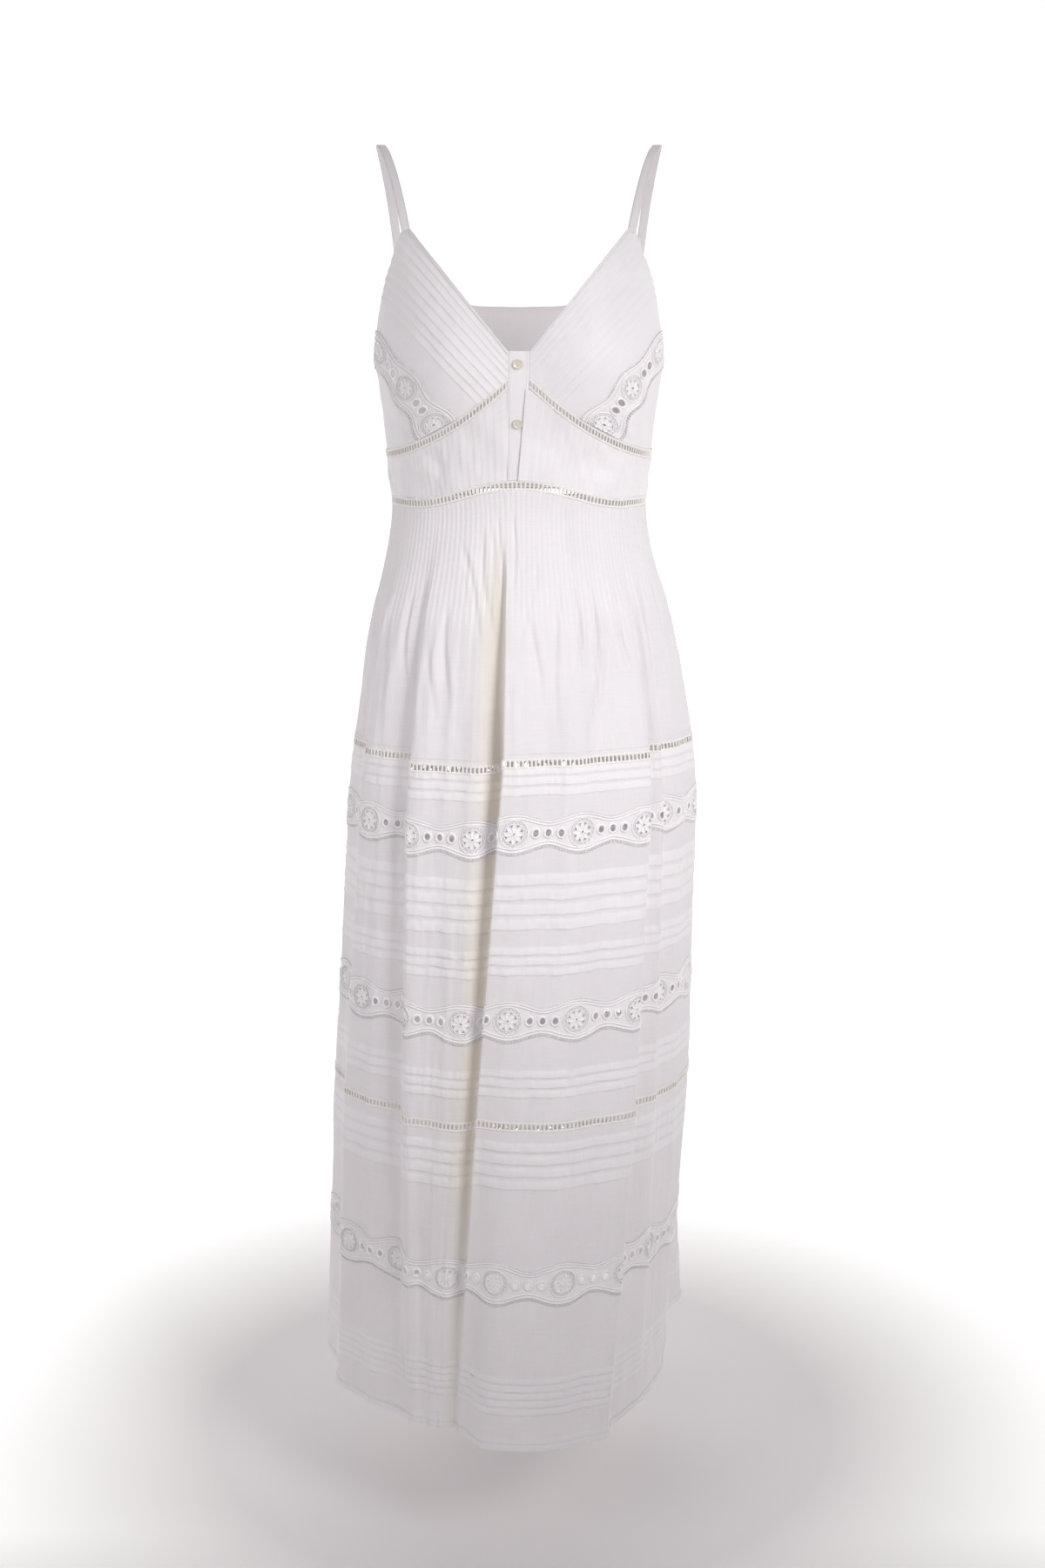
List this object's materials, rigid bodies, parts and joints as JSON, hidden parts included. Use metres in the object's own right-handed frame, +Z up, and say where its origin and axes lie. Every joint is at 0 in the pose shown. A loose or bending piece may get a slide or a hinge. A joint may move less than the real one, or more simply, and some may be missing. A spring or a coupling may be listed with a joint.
{
  "type": "maxi dress",
  "caption": "Long sleeveless strap dress with a V neck, tucked cups, a buttoned placket, openwork ladder seams, pintucks and lace bands round a full skirt, hollow as worn.",
  "frame": {"origin": "midway between the tops of the two shoulder straps, at the level of their undersides, where the shoulders carry the dress", "axes": "+Z up, the front of the dress faces -Y, +X is the right of the picture and the wearer's left"},
  "size_m": [0.4038, 0.4428, 1.2945],
  "materials": {
    "cotton_voile": "matte, semi-sheer plain weave",
    "cotton_lace": "matte corded cotton lace",
    "ladder_trim": "matte openwork ladder trim",
    "button": "pale ivory, softly polished"
  },
  "bodies": {
    "root": {"strap_left": "cotton_voile", "strap_right": "cotton_voile", "cup_left": "cotton_voile", "cup_right": "cotton_voile", "cup_lace_left": "cotton_lace", "cup_lace_right": "cotton_lace", "underbust_ladder_left": "ladder_trim", "underbust_ladder_right": "ladder_trim", "midriff_left": "cotton_voile", "midriff_right": "cotton_voile", "placket": "cotton_voile", "button_upper": "button", "button_lower": "button", "back_bodice": "cotton_voile", "waist_ladder": "ladder_trim", "skirt_yoke": "cotton_voile", "hip_ladder": "ladder_trim", "tier_1": "cotton_voile", "lace_1_front": "cotton_lace", "lace_1_back": "cotton_lace", "tier_2": "cotton_voile", "lace_2_front": "cotton_lace", "lace_2_back": "cotton_lace", "tier_3": "cotton_voile", "lower_ladder": "ladder_trim", "tier_4": "cotton_voile", "lace_3_front": "cotton_lace", "lace_3_back": "cotton_lace", "tier_5": "cotton_voile"}
  },
  "joints": []
}
